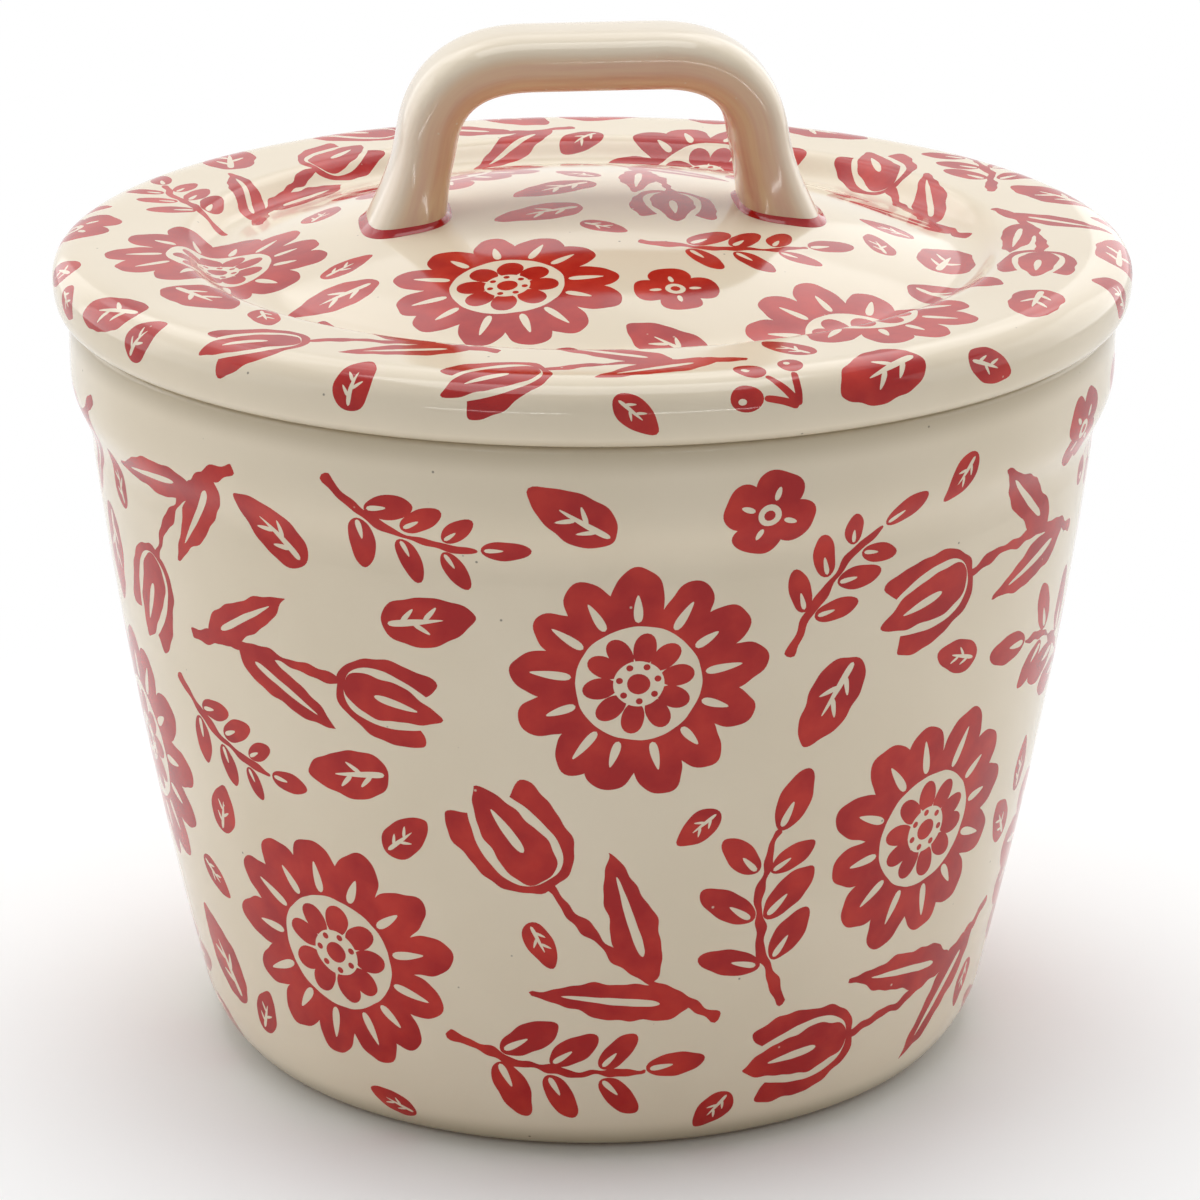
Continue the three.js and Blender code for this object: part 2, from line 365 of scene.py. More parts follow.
def bent_line(reach, bend, steps=14):
    """Line from the origin whose heading turns evenly from 0 to bend, and the heading at each point."""
    share = np.linspace(0, 1, steps + 1)
    heading = bend * (share[:-1] + share[1:]) / 2
    step = reach / steps * np.column_stack((np.cos(heading), np.sin(heading)))
    return np.concatenate((np.zeros((1, 2)), np.cumsum(step, axis=0))), bend * share


def ribbon(path, heading, width, end_width):
    """Stem: the path offset to both sides of its heading by a half width that tapers."""
    half = np.linspace(width, end_width, len(path))[:, None] / 2
    side = half * np.column_stack((-np.sin(heading), np.cos(heading)))
    return np.concatenate((path + side, (path - side)[::-1]))


def moved(outline, turn, shift=(0, 0)):
    """Outline turned about the origin and then shifted."""
    spin = np.array(((math.cos(turn), math.sin(turn)), (-math.sin(turn), math.cos(turn))))
    return outline @ spin + np.asarray(shift)


def pointing(turn):
    """Unit vector at an angle."""
    return np.array((math.cos(turn), math.sin(turn)))


def aster(radius, rng):
    """Large flower head: a ring of veined petals, a bare ring, a ring of small petals and a dotted eye."""
    parts = []
    count = int(rng.integers(11, 14))
    turns = 2 * np.pi * (np.arange(count) + rng.uniform(-0.12, 0.12, count)) / count
    reaches = radius * rng.uniform(0.9, 1.0, count)
    broad = 4.6 * radius / count
    for turn, reach in zip(turns, reaches):
        blade = petal(reach - 0.3 * radius, broad * rng.uniform(0.94, 1.1), 0.55, rng.uniform(0.38, 0.55))
        parts.append((moved(blade + (0.3 * radius, 0), turn), 1))
    for turn, reach in zip(turns, reaches):
        vein = petal(rng.uniform(0.24, 0.36) * reach, 0.07 * radius, 0.4, 0.9, 6)
        parts.append((moved(vein + (0.49 * radius, 0), turn), 0))
    parts.append((disc(0.47 * radius, 30), 0))
    count = int(rng.integers(8, 11))
    for turn in 2 * np.pi * (np.arange(count) + rng.uniform(-0.1, 0.1, count)) / count:
        blade = petal(0.27 * radius, 1.75 * radius / count, 0.5, 0.45, 9)
        parts.append((moved(blade + (0.15 * radius, 0), turn), 1))
    parts.append((disc(0.19 * radius, 18), 0))
    parts.append((disc(0.09 * radius, 12), 1))
    for turn in 2 * np.pi * np.arange(7) / 7:
        parts.append((disc(0.03 * radius, 7) + 0.145 * radius * pointing(turn), 1))
    return parts


def tulip(reach, rng):
    """Tulip: bent stem, two long veined leaves and a cup of two back petals behind an outlined front one."""
    path, heading = bent_line(0.66 * reach, rng.choice((-1, 1)) * rng.uniform(0.3, 0.8))
    parts = [(ribbon(path, heading, 1.7, 1.3), 1)]
    for place, side in ((2, 1), (5, -1)):
        turn = heading[place] + side * rng.uniform(0.4, 0.6)
        parts.append((moved(petal(0.44 * reach, 0.125 * reach, 0.6, 1.0), turn, path[place]), 1))
        vein = petal(0.28 * reach, 0.024 * reach, 0.3, 0.7, 6)
        parts.append((moved(vein + (0.08 * reach, 0), turn, path[place]), 0))
    cup, lean = path[-1], heading[-1]
    for side in (-1, 1):
        back = petal(0.34 * reach, 0.17 * reach, 0.45, 0.75)
        parts.append((moved(back, lean + 0.34 * side, cup - 0.02 * reach * pointing(lean)), 1))
    parts.append((moved(petal(0.36 * reach, 0.19 * reach, 0.4, 0.8), lean, cup), 0))
    parts.append((moved(petal(0.34 * reach, 0.142 * reach, 0.4, 0.8), lean, cup), 1))
    vein = petal(0.16 * reach, 0.026 * reach, 0.5, 0.9, 6)
    parts.append((moved(vein + (0.1 * reach, 0), lean, cup), 0))
    return parts


def sprig(reach, rng):
    """Leafy sprig: a bent stem with three pairs of leaves and one at its tip, each with a bare midrib."""
    path, heading = bent_line(0.8 * reach, rng.choice((-1, 1)) * rng.uniform(0.5, 1.1), 16)
    parts = [(ribbon(path, heading, 1.5, 0.9), 1)]
    pairs = [(place, side, share) for place, share in ((4, 1.0), (8, 0.95), (12, 0.8)) for side in (-1, 1)]
    for place, side, share in (*pairs, (16, 0, 0.95)):
        size = share * reach * rng.uniform(0.24, 0.285)
        turn = heading[place] + side * rng.uniform(0.75, 0.95)
        start = path[place] + 1.1 * abs(side) * pointing(turn)
        parts.append((moved(petal(size, 0.48 * size, 0.55, 0.62, 12), turn, start), 1))
        vein = petal(0.45 * size, 0.11 * size, 0.3, 0.8, 5)
        parts.append((moved(vein + (0.04 * size, 0), turn, start), 0))
    return parts


def leaf(reach, rng):
    """Single leaf with a bare midrib and three side veins."""
    parts = [(petal(reach, 0.56 * reach * rng.uniform(0.9, 1.1), 0.5, 0.75), 1)]
    parts.append((petal(0.62 * reach, 0.07 * reach, 0.25, 0.8, 8) + (0.05 * reach, 0), 0))
    for start, side in ((0.2, 1), (0.32, -1), (0.44, 1)):
        vein = petal(0.24 * reach, 0.055 * reach, 0.35, 0.8, 5)
        parts.append((moved(vein, 0.7 * side, (start * reach, 0)), 0))
    return parts


def blossom(radius, rng):
    """Small blossom: four broad petals with a bare line each, round a ringed eye."""
    turns = np.pi / 2 * np.arange(4)
    parts = []
    for turn in turns:
        blade = petal(radius * rng.uniform(0.92, 1.04), 1.02 * radius, 0.62, 0.36, 12)
        parts.append((moved(blade, turn), 1))
    for turn in turns:
        parts.append((moved(petal(0.34 * radius, 0.13 * radius, 0.5, 0.7, 5) + (0.3 * radius, 0), turn), 0))
    parts.append((disc(0.25 * radius, 12), 0))
    parts.append((disc(0.13 * radius, 8), 1))
    return parts


def berries(reach, rng):
    """Three berries with a bare glint each, on bent stalks that fan out of one point."""
    parts = []
    for turn, share in ((-0.6, 0.95), (0.08, 1.1), (0.72, 0.9)):
        path, heading = bent_line(0.62 * share * reach, 0.5 * turn, 6)
        parts.append((moved(ribbon(path, heading, 1.0, 0.8), 0.75 * turn), 1))
        end, lean = moved(path[-1:], 0.75 * turn)[0], 0.75 * turn + heading[-1]
        berry = petal(0.5 * reach, 0.4 * reach * rng.uniform(0.92, 1.08), 0.5, 0.5, 12)
        parts.append((moved(berry, lean, end), 1))
        glint = petal(0.14 * reach, 0.1 * reach, 0.5, 0.5, 5)
        parts.append((moved(glint + (0.24 * reach, 0.05 * reach), lean, end), 0))
    return parts


def hand_cut(outline, rng, amount):
    """Outline as a knife leaves it: even steps along it, each moved along its normal by slow sine waves.

    The waves are about 3, 5 and 9 mm long and start at random phases. Short outlines move less.
    """
    closed = np.concatenate((outline, outline[:1]))
    run = np.concatenate(([0], np.cumsum(np.linalg.norm(np.diff(closed, axis=0), axis=1))))
    count = max(12, math.ceil(run[-1] / OUTLINE_STEP))
    even = np.arange(count) / count
    points = np.column_stack([np.interp(even * run[-1], run, closed[:, k]) for k in range(2)])
    points = (np.roll(points, 1, axis=0) + 2 * points + np.roll(points, -1, axis=0)) / 4
    along = np.roll(points, -1, axis=0) - np.roll(points, 1, axis=0)
    along /= np.linalg.norm(along, axis=1, keepdims=True) + 1e-9
    amount *= min(1, run[-1] / LONG_OUTLINE)
    shift = np.zeros(count)
    for wave in (3.0, 5.0, 9.0):
        waves = max(1, round(run[-1] / wave))
        shift += wave / 9 * np.sin(2 * np.pi * (waves * even + rng.uniform()))
    return points + amount * shift[:, None] * np.column_stack((along[:, 1], -along[:, 0]))


# Scatter of the motifs


def filled_points(parts):
    """Points that cover a motif: every inked outline drawn in towards its middle in steps."""
    points = []
    for outline, ink in parts:
        if ink:
            middle = outline.mean(axis=0)
            points += [middle + share * (outline - middle) for share in (1.0, 0.8, 0.6, 0.4, 0.2)]
    return np.concatenate(points)


class Scatter:
    """Keeps the motifs on a flat patch apart by marking the cells that each one and its margin cover."""

    def __init__(self, width, height, clearance, wraps, free, fitted):
        """free says which cells are open, and fitted bends a motif to its place on the patch."""
        columns, rows = round(width / CELL), round(height / CELL)
        self.size = (width, height)
        self.wraps = wraps
        self.fitted = fitted
        x, y = np.meshgrid((np.arange(columns) + 0.5) * CELL - width / 2, (np.arange(rows) + 0.5) * CELL)
        self.taken = ~free(x, y)
        reach = int(clearance / CELL)
        near = np.mgrid[-reach : reach + 1, -reach : reach + 1].reshape(2, -1)
        self.near = near[:, np.hypot(*near) <= clearance / CELL]
        self.outlines = []
        self.inks = []

    def cells(self, points):
        """Row and column of each point's cell, and whether all lie on the patch."""
        column = np.floor((points[:, 0] + self.size[0] / 2) / CELL).astype(int)
        row = np.floor(points[:, 1] / CELL).astype(int)
        inside = ((row >= 0) & (row < self.taken.shape[0])).all()
        if self.wraps:
            return row, column % self.taken.shape[1], inside
        return row, column, inside and ((column >= 0) & (column < self.taken.shape[1])).all()

    def place(self, parts, turn, spot, rng):
        """Puts a motif down if its cells are all free."""
        parts = [(self.fitted(moved(outline, turn), spot), ink) for outline, ink in parts]
        row, column, inside = self.cells(filled_points(parts))
        if not inside or self.taken[row, column].any():
            return
        rows = np.clip(row[:, None] + self.near[0], 0, self.taken.shape[0] - 1)
        columns = column[:, None] + self.near[1]
        limit = self.taken.shape[1]
        columns = columns % limit if self.wraps else np.clip(columns, 0, limit - 1)
        self.taken[rows, columns] = True
        for outline, ink in parts:
            cut = hand_cut(outline, rng, INK_WAVE if ink else BARE_WAVE)
            for shift in self.copies(cut):
                self.outlines.append(cut + (shift, 0))
                self.inks.append(ink)

    def copies(self, outline):
        """Shifts at which an outline shows: its own place, and a turn away where it crosses the seam."""
        half = self.size[0] / 2
        if not self.wraps:
            return (0.0,)
        crossing = (2 * half,) if outline[:, 0].min() < -half else ()
        return (0.0, *crossing, *((-2 * half,) if outline[:, 0].max() > half else ()))

    def fill(self, motif, size, tries, rng):
        """Tries a motif of about one size at random free places and turns."""
        for _ in range(tries):
            spot = rng.uniform((-self.size[0] / 2, 0), (self.size[0] / 2, self.size[1]))
            row, column, _ = self.cells(spot[None])
            if not self.taken[row[0] % len(self.taken), column[0] % self.taken.shape[1]]:
                parts = motif(size * rng.uniform(*SIZE_SPREAD), rng)
                self.place(parts, rng.uniform(0, 2 * np.pi), spot, rng)


# Meshes


def counter_clockwise(outline):
    """Outline in the order that keeps its inside on the left."""
    x, y = outline.T
    return outline if np.sum(x * np.roll(y, -1) - np.roll(x, -1) * y) > 0 else outline[::-1]


def printed_patch(rim, inner, outlines, inks):
    """Flat patch split into triangles that follow every outline, and the ink of each triangle.

    A constrained Delaunay triangulation of the rim, the inner points and the outlines says which outlines
    each triangle lies in, and the last of them drawn gives its ink.
    """
    loops = [rim] + [counter_clockwise(outline) for outline in outlines]
    points = np.concatenate(loops + [inner])
    starts = np.cumsum([0] + [len(loop) for loop in loops])
    faces = [list(range(starts[k], starts[k + 1])) for k in range(len(loops))]
    corners = [Vector(point) for point in points.tolist()]
    flat, _, triangles, _, _, sources = delaunay_2d_cdt(corners, [], faces, 0, 1e-6, True)
    kept = [k for k, source in enumerate(sources) if 0 in source]
    ink_of = np.array([0] + list(inks), float)
    ink = ink_of[[max(sources[k]) for k in kept]]
    return np.array([corner[:] for corner in flat]), np.array([triangles[k] for k in kept]), ink


def joined(surfaces):
    """Surfaces welded into one: equal points merge, flat triangles go and each face turns to its normals."""
    points = np.concatenate([surface[0] for surface in surfaces])
    normals = np.concatenate([surface[1] for surface in surfaces])
    starts = np.cumsum([0] + [len(surface[0]) for surface in surfaces])
    triangles = np.concatenate([surface[2] + start for surface, start in zip(surfaces, starts)])
    extras = np.concatenate([surface[3] for surface in surfaces])
    _, first, merged = np.unique(np.round(points, 4), axis=0, return_index=True, return_inverse=True)
    points, normals, triangles = points[first], normals[first], merged.ravel()[triangles]
    a, b, c = triangles.T
    kept = (a != b) & (b != c) & (c != a)
    triangles, extras = triangles[kept], extras[kept]
    a, b, c = (points[triangles[:, k]] for k in range(3))
    inward = np.einsum("ij,ij->i", np.cross(b - a, c - a), normals[triangles].sum(axis=1)) < 0
    triangles[inward] = triangles[inward][:, ::-1]
    return points, normals, triangles, extras


def new_piece(name, surface, materials, body, node, corner_ink_and_shade=None, places=None):
    """Object made of a welded surface, whose extras are each triangle's ink and material.

    Corner ink is one value for each corner of each triangle, and takes the place of the triangles' ink; on
    the handle it is the painted shade.
    Places are each point's place on the strap.
    """
    points, normals, triangles, extras = surface
    ink = np.repeat(extras[:, 0], 3) if corner_ink_and_shade is None else corner_ink_and_shade.ravel()
    mesh = bpy.data.meshes.new(name)
    mesh.from_pydata((points / MM).tolist(), [], triangles.tolist())
    for material in materials:
        mesh.materials.append(material)
    mesh.polygons.foreach_set("material_index", extras[:, 1].astype(np.int32))
    mesh.attributes.new(INK_AND_SHADE, "FLOAT", "CORNER").data.foreach_set("value", ink)
    if places is not None:
        mesh.attributes.new(STRAP, "FLOAT_VECTOR", "POINT").data.foreach_set("vector", places.ravel())
    mesh.shade_smooth()
    mesh.normals_split_custom_set_from_vertices(normals.tolist())
    mesh.update()
    piece = bpy.data.objects.new(name, mesh)
    bpy.context.scene.collection.objects.link(piece)
    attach(piece, body)
    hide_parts(node)
    return piece


def plain(surface, material=0):
    """Surface with no ink and one material, ready to be joined."""
    return (*surface, np.tile((0.0, float(material)), (len(surface[2]), 1)))


# Materials


def add_node(tree, kind, inputs=(), **settings):
    """Adds a node with its settings, and gives each input a value or links it to another node's output."""
    node = tree.nodes.new(kind)
    for name, value in settings.items():
        setattr(node, name, value)
    for key, value in dict(inputs).items():
        if isinstance(value, bpy.types.NodeSocket):
            tree.links.new(value, node.inputs[key])
        else:
            node.inputs[key].default_value = value
    return node


def solid(rgb):
    """Colour with full alpha."""
    return (*rgb, 1.0)


def new_material(name):
    """Material with an empty node tree and its output node."""
    material = bpy.data.materials.new(name)
    material.use_nodes = True
    material.node_tree.nodes.clear()
    return material, material.node_tree, add_node(material.node_tree, "ShaderNodeOutputMaterial")


def glaze_material(name, cream, mark, mark_thin, mark_size, strap=False):
    """Glossy cream glaze on speckled stoneware, fired smooth, with a second colour where the ink says so.

    The eye sees a creamy ground that pools a little darker, sparse iron specks, a mark that is dense in
    places, watery in others and pricked by pinholes, and one even gloss over all of it with the slow ripple
    of a dipped glaze. The mark's patches are as long as mark_size says, and follow the strap on the handle.
    Shade is painted into the ground along the seam under the lid's overhang and over the heel, and on the
    handle the mark is painted shade and painted pink bounce from the red print, with some thin glaze.
    """
    finish = bpy.context.scene.canister_finishes
    material, tree, output = new_material(name)
    place = add_node(tree, "ShaderNodeTexCoord").outputs["Object"]
    # Pools of thicker glaze, 24 mm across
    pools = add_node(tree, "ShaderNodeTexNoise", {"Vector": place, "Scale": MM / 24, "Detail": 2.0})
    ground = add_node(
        tree,
        "ShaderNodeMix",
        {0: pools.outputs["Fac"], 6: solid(cream), 7: solid(finish.cream_thin)},
        data_type="RGBA",
    )
    # Painted shade under the lid's overhang, along the seam between jar and lid, over 4.5 mm below it and 1.3
    # mm above
    height = add_node(tree, "ShaderNodeSeparateXYZ", {0: place}).outputs["Z"]
    seam = bpy.context.scene.canister_jar.height
    below = add_node(
        tree,
        "ShaderNodeMapRange",
        {"Value": height, 1: seam - 4.5 / MM, 2: seam - 0.5 / MM},
        interpolation_type="SMOOTHSTEP",
    )
    above = add_node(
        tree, "ShaderNodeMapRange", {"Value": height, 1: seam, 2: seam + 1.3 / MM, 3: 1.0, 4: 0.0}
    )
    painted_shade = add_node(
        tree, "ShaderNodeMath", {0: below.outputs[0], 1: above.outputs[0]}, operation="MULTIPLY"
    )
    # The same painted shade over the lowest 5 mm, on the heel that turns down away from the light
    heel_shade = add_node(
        tree,
        "ShaderNodeMapRange",
        {"Value": height, 1: 1.0 / MM, 2: 5.0 / MM, 3: 1.0, 4: 0.0},
        interpolation_type="SMOOTHSTEP",
    )
    painted_shade = add_node(
        tree, "ShaderNodeMath", {0: painted_shade.outputs[0], 1: heel_shade.outputs[0]}, operation="MAXIMUM"
    )
    ground = add_node(
        tree,
        "ShaderNodeMix",
        {0: painted_shade.outputs[0], 6: ground.outputs[2], 7: solid(finish.seam_and_heel_shade)},
        data_type="RGBA",
    )
    # Iron specks 0.3 mm across, coarser than real so that they show, in a third of the cells 3.8 mm apart
    cells = add_node(tree, "ShaderNodeTexVoronoi", {"Vector": place, "Scale": MM / 3.8})
    near = add_node(
        tree, "ShaderNodeMapRange", {"Value": cells.outputs["Distance"], 1: 0.025, 2: 0.06, 3: 0.8, 4: 0.0}
    )
    chosen = add_node(
        tree, "ShaderNodeMath", {0: cells.outputs["Color"], 1: 0.66}, operation="GREATER_THAN"
    )
    speck = add_node(tree, "ShaderNodeMath", {0: near.outputs[0], 1: chosen.outputs[0]}, operation="MULTIPLY")
    base = add_node(
        tree,
        "ShaderNodeMix",
        {0: speck.outputs[0], 6: ground.outputs[2], 7: solid(finish.speck)},
        data_type="RGBA",
    ).outputs[2]
    # Watery and dense colour of the print; on the handle, tan painted shade and pink painted bounce
    along = add_node(tree, "ShaderNodeAttribute", attribute_name=STRAP).outputs["Vector"] if strap else place
    grain = add_node(
        tree, "ShaderNodeMapping", {"Vector": along, "Scale": [MM / size for size in mark_size]}
    )
    wash = add_node(tree, "ShaderNodeTexNoise", {"Vector": grain.outputs[0], "Scale": 1.0, "Detail": 4.0})
    density = add_node(
        tree, "ShaderNodeMapRange", {"Value": wash.outputs["Fac"], 1: 0.38, 2: 0.7, 3: 0.0, 4: 0.85}
    )
    marked = add_node(
        tree,
        "ShaderNodeMix",
        {0: density.outputs[0], 6: solid(mark), 7: solid(mark_thin)},
        data_type="RGBA",
    )
    # Pinholes in the mark, in another third of the cells
    pricked = add_node(tree, "ShaderNodeMath", {0: cells.outputs["Color"], 1: 0.33}, operation="LESS_THAN")
    hole = add_node(tree, "ShaderNodeMath", {0: near.outputs[0], 1: pricked.outputs[0]}, operation="MULTIPLY")
    kept = add_node(tree, "ShaderNodeMath", {0: 1.0, 1: hole.outputs[0]}, operation="SUBTRACT")
    ink = add_node(tree, "ShaderNodeAttribute", attribute_name=INK_AND_SHADE).outputs["Fac"]
    cover = add_node(tree, "ShaderNodeMath", {0: ink, 1: kept.outputs[0]}, operation="MULTIPLY")
    base = add_node(
        tree, "ShaderNodeMix", {0: cover.outputs[0], 6: base, 7: marked.outputs[2]}, data_type="RGBA"
    ).outputs[2]
    # Ripple of the fired glaze, 9 mm from crest to crest and 0.03 mm high
    ripple = add_node(tree, "ShaderNodeTexNoise", {"Vector": place, "Scale": MM / 9, "Detail": 1.0})
    bump = add_node(tree, "ShaderNodeBump", {"Height": ripple.outputs["Fac"], "Distance": 0.03 / MM})
    shader = add_node(
        tree,
        "ShaderNodeBsdfPrincipled",
        {"Base Color": base, "Roughness": 0.09, "IOR": GLAZE_IOR, "Normal": bump.outputs[0]},
    )
    tree.links.new(shader.outputs[0], output.inputs["Surface"])
    return material


def slip_material():
    """Red luting slip under clear glaze: brushed on wet, so it is dark, streaky and glossy."""
    finish = bpy.context.scene.canister_finishes
    material, tree, output = new_material("glazed red luting slip")
    place = add_node(tree, "ShaderNodeTexCoord").outputs["Object"]
    # Brush streaks 3 mm apart
    streaks = add_node(tree, "ShaderNodeTexNoise", {"Vector": place, "Scale": MM / 3, "Detail": 3.0})
    share = add_node(
        tree, "ShaderNodeMapRange", {"Value": streaks.outputs["Fac"], 1: 0.45, 2: 0.8, 3: 0.0, 4: 0.5}
    )
    base = add_node(
        tree,
        "ShaderNodeMix",
        {0: share.outputs[0], 6: solid(finish.slip_red), 7: solid(finish.red_thin)},
        data_type="RGBA",
    )
    shader = add_node(
        tree, "ShaderNodeBsdfPrincipled", {"Base Color": base.outputs[2], "Roughness": 0.08, "IOR": GLAZE_IOR}
    )
    tree.links.new(shader.outputs[0], output.inputs["Surface"])
    return material


def clay_material():
    """Bare fired stoneware: wiped free of glaze, so it is matt, sandy and faintly freckled."""
    finish = bpy.context.scene.canister_finishes
    material, tree, output = new_material("bare stoneware")
    place = add_node(tree, "ShaderNodeTexCoord").outputs["Object"]
    # Sand grains 0.6 mm across
    grain = add_node(tree, "ShaderNodeTexNoise", {"Vector": place, "Scale": MM / 0.6, "Detail": 2.0})
    tint = add_node(
        tree, "ShaderNodeMapRange", {"Value": grain.outputs["Fac"], 1: 0.35, 2: 0.75, 3: 0.0, 4: 0.35}
    )
    base = add_node(
        tree,
        "ShaderNodeMix",
        {0: tint.outputs[0], 6: solid(finish.clay), 7: solid(finish.speck)},
        data_type="RGBA",
    )
    bump = add_node(tree, "ShaderNodeBump", {"Height": grain.outputs["Fac"], "Distance": 0.05 / MM})
    shader = add_node(
        tree,
        "ShaderNodeBsdfPrincipled",
        {"Base Color": base.outputs[2], "Roughness": 0.85, "Normal": bump.outputs[0]},
    )
    tree.links.new(shader.outputs[0], output.inputs["Surface"])
    return material


def shared_material(name, make, *values):
    """Material of that name, made on first use."""
    return bpy.data.materials.get(name) or make(*values)


def printed_glaze():
    """Cream glaze with the red print."""
    finish = bpy.context.scene.canister_finishes
    name = "cream stoneware glaze with red underglaze"
    patch = (6.0, 6.0, 6.0)
    return shared_material(name, glaze_material, name, finish.cream, finish.red, finish.red_thin, patch)


def bare_clay():
    """Unglazed stoneware."""
    return shared_material("bare stoneware", clay_material)


# Shapes of the pieces


def in_mm(sizes):
    """Every length of a property group in millimetres, by name."""
    return {name: MM * getattr(sizes, name) for name in sizes.__annotations__ if name != "seed"}


def jar_profile():
    """Turned profile of the jar from the middle of its underside, over the rim, to the middle of its floor.

    Straight lines join quadratic and cubic Bezier curves at the heel, wall, cove, rim, mouth and floor.
    Returns the table and the lengths where the foot ring, the print, the rim and the mouth begin.
    """
    s = in_mm(bpy.context.scene.canister_jar)
    wall_top = s["height"] - s["collar_height"] - s["shoulder_height"]
    slope = (s["shoulder_radius"] - s["heel_radius"]) / (wall_top - s["heel_height"])
    heel = (s["heel_radius"] - slope * s["heel_height"] / 2, s["heel_height"] / 2)
    bulge = (s["heel_radius"] + s["shoulder_radius"]) / 2 + 2 * s["wall_bulge"]
    cove = wall_top + s["shoulder_height"] / 2
    recess = s["foot_radius"] - s["foot_ring"]
    mouth = s["collar_radius"] - s["rim_width"]
    inside_top = s["height"] - s["mouth_depth"]
    inside_foot = s["heel_radius"] - s["wall"]
    corner = inside_foot - slope * s["floor_fillet"] / 2
    fillet_top = s["floor"] + s["floor_fillet"]
    lean = (heel[0] - s["foot_radius"]) / heel[1]
    foot_edge = bezier(
        [
            (s["foot_radius"] - s["foot_round"], 0),
            (s["foot_radius"], 0),
            (s["foot_radius"] + lean * s["foot_round"], s["foot_round"]),
        ]
    )
    heel_curve = bezier([foot_edge[-1], heel, (s["heel_radius"], s["heel_height"])])
    wall_curve = bezier(
        [heel_curve[-1], (bulge, (s["heel_height"] + wall_top) / 2), (s["shoulder_radius"], wall_top)], 60
    )
    cove_curve = bezier(
        [
            wall_curve[-1],
            (s["shoulder_radius"], cove),
            (s["collar_radius"], cove),
            (s["collar_radius"], s["height"] - s["collar_height"]),
        ]
    )
    rim_start = (s["collar_radius"], s["height"] - s["rim_round"])
    rim_end = (s["collar_radius"] - s["rim_round"], s["height"])
    rim = bezier([rim_start, (s["collar_radius"], s["height"]), rim_end])
    mouth_start = (mouth + MOUTH_ROUND, s["height"])
    lip = bezier([mouth_start, (mouth, s["height"]), (mouth, s["height"] - MOUTH_ROUND)])
    inside_middle = (bulge - s["wall"], (fillet_top + inside_top) / 2)
    inside = bezier([(mouth, inside_top), inside_middle, (inside_foot, fillet_top)], 60)
    floor = bezier([inside[-1], (corner, s["floor"]), (corner - s["floor_fillet"], s["floor"])])
    curves = [
        [(0, s["foot_recess"]), (recess - RECESS_SLOPE, s["foot_recess"]), (recess, 0)],
        foot_edge,
        heel_curve,
        wall_curve,
        cove_curve,
        rim,
        lip,
        inside,
        floor,
        [(0, s["floor"])],
    ]
    table = profile_table([np.asarray(curve, float) for curve in curves])
    marks = [(recess, 0), foot_edge[len(foot_edge) // 2], rim_end, mouth_start]
    return table, [length_at(table, mark) for mark in marks]


def jar_surface():
    """Jar: printed outside wall, bare foot ring and rim, glazed underside and inside."""
    table, (foot, wall, rim, mouth) = jar_profile()
    sizes = in_mm(bpy.context.scene.canister_print)
    rng = np.random.default_rng(bpy.context.scene.canister_print.seed)
    outside = table[(table[:, 0] >= wall) & (table[:, 0] <= rim)]
    mean_radius = outside[:, 1].mean()
    width, height = 2 * np.pi * mean_radius, rim - wall

    def free(x, y):
        """Print keeps off the foot edge and the top of the collar."""
        return (y > FOOT_MARGIN) & (y < height - COLLAR_MARGIN)

    def fitted(outline, spot):
        """Widened by the mean radius over the radius there, so that the wall's taper doesn't squeeze it."""
        radius = np.interp(wall + spot[1], table[:, 0], table[:, 1])
        return outline * (mean_radius / radius, 1) + spot

    scatter = Scatter(width, height, sizes["clearance"], True, free, fitted)
    for step in range(JAR_HEADS):
        side = width * (step / JAR_HEADS - 0.5) + JAR_HEAD_SHIFT
        level = height * JAR_HEAD_HEIGHTS[step % len(JAR_HEAD_HEIGHTS)]
        spot = (side, level + rng.uniform(-JAR_HEAD_STRAY, JAR_HEAD_STRAY))
        scatter.place(aster(sizes["aster"] * rng.uniform(0.86, 1.0), rng), rng.uniform(0, 6), spot, rng)
    scatter.fill(tulip, sizes["tulip"], 900, rng)
    scatter.fill(sprig, sizes["sprig"], 1500, rng)
    scatter.fill(sprig, 0.75 * sizes["sprig"], 900, rng)
    scatter.fill(leaf, sizes["leaf"], 900, rng)
    scatter.fill(blossom, sizes["blossom"], 1200, rng)
    scatter.fill(berries, sizes["berries"], 1500, rng)
    scatter.fill(leaf, 0.55 * sizes["leaf"], 1500, rng)

    rows = even_rows(table, wall, rim, *JAR_PRINT_ROWS) - wall
    across = np.linspace(-width / 2, width / 2, COLUMNS + 1)
    left = np.column_stack((np.full(len(rows), across[0]), rows))
    right = np.column_stack((np.full(len(rows), across[-1]), rows))
    low = np.column_stack((across, np.full(len(across), rows[0])))
    high = np.column_stack((across, np.full(len(across), rows[-1])))
    edge = np.concatenate((low[:-1], right[:-1], high[:0:-1], left[:0:-1]))
    inner = np.stack(np.meshgrid(across[1:-1], rows[1:-1]), -1).reshape(-1, 2)
    flat, triangles, ink = printed_patch(edge, inner, scatter.outlines, scatter.inks)
    points, normals = turned_points(table, 2 * np.pi * flat[:, 0] / width, wall + flat[:, 1])
    shown = (points, normals, triangles, np.column_stack((ink, np.zeros(len(ink)))))
    under = turned_grid(table, even_rows(table, 0, foot, *JAR_UNDER_ROWS))
    ring = turned_grid(table, even_rows(table, foot, wall, *BARE_ROWS))
    top = turned_grid(table, even_rows(table, rim, mouth, *JAR_RIM_ROWS))
    inside = turned_grid(table, even_rows(table, mouth, table[-1, 0], *JAR_INSIDE_ROWS))
    return joined([shown, plain(under), plain(ring, 1), plain(top, 1), plain(inside)])


